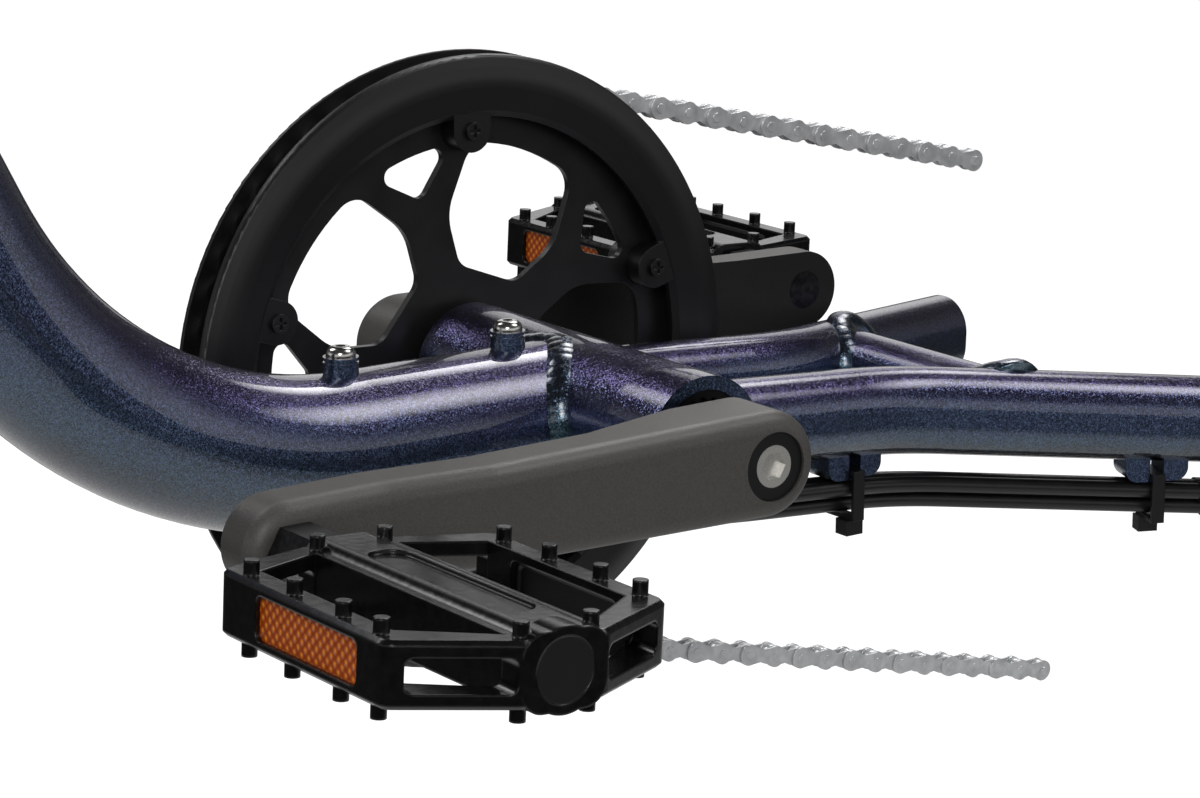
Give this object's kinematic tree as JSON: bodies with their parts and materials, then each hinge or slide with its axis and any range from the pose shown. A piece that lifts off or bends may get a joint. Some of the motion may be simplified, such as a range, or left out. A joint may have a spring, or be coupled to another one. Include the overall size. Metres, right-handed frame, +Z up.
{
  "type": "crank drive with bottom-bracket frame section",
  "caption": "Bottom-bracket section of an electric fat bike's frame with its crankset, guarded chainring, a length of chain and platform pedals, all turning on real bearings.",
  "frame": {"origin": "centre of the main tube's cut front end, where the section is held", "axes": "+X towards the front of the bike, +Y to its left, +Z up"},
  "size_m": [0.5622, 0.472, 0.3306],
  "materials": {
    "frame_paint": "pearl violet-blue paint under a gloss clear coat",
    "screw_steel": "bright steel",
    "bracket_black": "black anodised",
    "spindle_steel": "ground steel",
    "crank_coat": "dark grey satin coat",
    "ring_plastic": "moulded black",
    "ring_steel": "black satin coat",
    "guard_plastic": "moulded black",
    "black_screw": "black oxide",
    "chain_steel": "plain steel",
    "pedal_alloy": "black satin coat",
    "cap_plastic": "moulded black",
    "reflector_amber": "prismatic amber",
    "cable_jacket": "smooth black jacket",
    "tie_nylon": "black nylon",
    "fitting_plastic": "moulded black",
    "port_rubber": "moulded black"
  },
  "bodies": {
    "frame": {"main_tube": "frame_paint", "bottom_bracket_shell": "frame_paint", "chainstay_left": "frame_paint", "chainstay_right": "frame_paint", "stay_bridge": "frame_paint", "bottle_bosses": "frame_paint", "boss_screws": "screw_steel", "bb_cup_left": "bracket_black", "bb_cup_right": "bracket_black", "cable_port": "port_rubber", "cable_guides": "frame_paint", "cable_ties": "tie_nylon", "motor_cable": "cable_jacket", "brake_hose": "cable_jacket", "light_cable": "cable_jacket", "cable_ends": "fitting_plastic", "chain_upper_run": "chain_steel", "chain_wrap": "chain_steel", "chain_lower_run": "chain_steel"},
    "crankset": {"spindle": "spindle_steel", "crank_left": "crank_coat", "crank_right": "crank_coat", "crank_bolt_left": "screw_steel", "crank_bolt_right": "screw_steel", "dust_ring_left": "ring_plastic", "dust_ring_right": "ring_plastic", "chainring": "ring_steel", "guard_inner": "guard_plastic", "guard_outer": "guard_plastic", "guard_screws": "black_screw", "pedal_axle_left": "spindle_steel", "pedal_axle_right": "spindle_steel"},
    "pedal_left": {"pedal_left_body": "pedal_alloy", "pedal_left_cap": "cap_plastic", "pedal_left_reflectors": "reflector_amber"},
    "pedal_right": {"pedal_right_body": "pedal_alloy", "pedal_right_cap": "cap_plastic", "pedal_right_reflectors": "reflector_amber"}
  },
  "joints": [
    {"name": "crank_turn", "type": "hinge", "parent": "frame", "child": "crankset", "pos_m": [-0.26032, 0, -0.15186], "axis": [0, 1, 0], "continuous": true},
    {"name": "pedal_left_turn", "type": "hinge", "parent": "crankset", "child": "pedal_left", "pos_m": [-0.09032, 0.182, -0.15186], "axis": [0, 1, 0], "continuous": true},
    {"name": "pedal_right_turn", "type": "hinge", "parent": "crankset", "child": "pedal_right", "pos_m": [-0.43032, -0.182, -0.15186], "axis": [0, 1, 0], "continuous": true}
  ]
}
